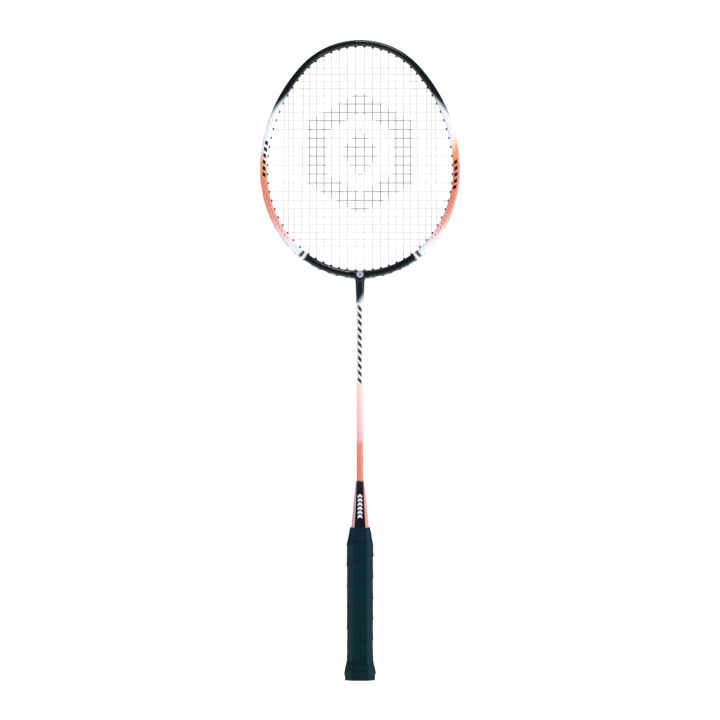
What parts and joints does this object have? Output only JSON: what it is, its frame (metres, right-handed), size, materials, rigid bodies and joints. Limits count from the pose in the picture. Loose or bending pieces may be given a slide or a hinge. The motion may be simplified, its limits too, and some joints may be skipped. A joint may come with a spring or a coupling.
{
  "type": "badminton racket",
  "caption": "Strung badminton racket with an oval hollow hoop, slim round shaft, tapered cone and a flared octagonal wrapped grip.",
  "frame": {"origin": "centre of the butt cap's end face", "axes": "+Z along the shaft, from the butt to the head; +X across the head; Y normal to the string bed, with the front, which carries the badge, at -Y"},
  "size_m": [0.2111, 0.0306, 0.675],
  "materials": {
    "frame": "gloss lacquer, fading to white, orange and pink",
    "joint": "gloss lacquer over moulded composite",
    "badge": "gloss resin dome",
    "shaft": "gloss lacquer, fading from white to orange",
    "cone": "gloss moulding, printed sides",
    "wood": "plain turned wood, unpainted",
    "cap": "fine-textured moulding",
    "tape": "soft perforated polyurethane wrap",
    "staple": "plain wire",
    "string": "translucent nylon",
    "grommet": "moulded nylon"
  },
  "bodies": {
    "root": {"head_frame": "frame", "throat_joint": "joint", "throat_badge": "badge", "shaft": "shaft", "cone_cap": "cone", "handle_core": "wood", "butt_cap": "cap", "grip_tape": "tape", "grip_staple": "staple", "main_string": "string", "cross_string": "string", "main_knots": "string", "cross_knots": "string", "grommets_crown": "grommet", "grommets_left": "grommet", "grommets_right": "grommet", "grommets_base": "grommet", "grommets_throat": "grommet"}
  },
  "joints": []
}
